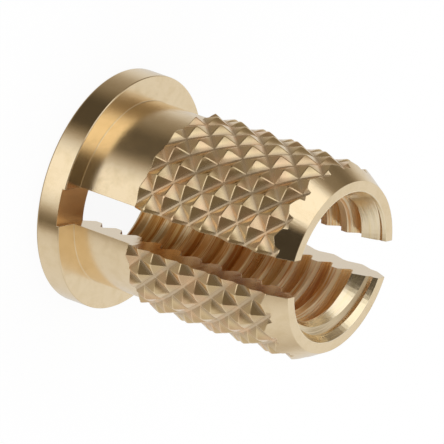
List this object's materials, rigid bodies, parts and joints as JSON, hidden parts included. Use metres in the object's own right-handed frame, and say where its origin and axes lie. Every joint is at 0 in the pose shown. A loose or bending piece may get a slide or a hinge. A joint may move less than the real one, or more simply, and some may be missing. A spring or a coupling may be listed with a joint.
{
  "type": "threaded insert",
  "caption": "Headed press-in threaded insert in brass, with a diamond-knurled body that a lengthwise saw slot splits from the tip to the flange.",
  "frame": {"origin": "centre of the flange's outer face, on the thread's axis; the part stands on that face", "axes": "+Z along the thread's axis, from the flange to the split tip; X along the saw slot; Y across it"},
  "size_m": [0.008, 0.008, 0.0093],
  "materials": {
    "brass": "bright machined brass with fine turning marks"
  },
  "bodies": {
    "root": {"insert": "brass"}
  },
  "joints": []
}
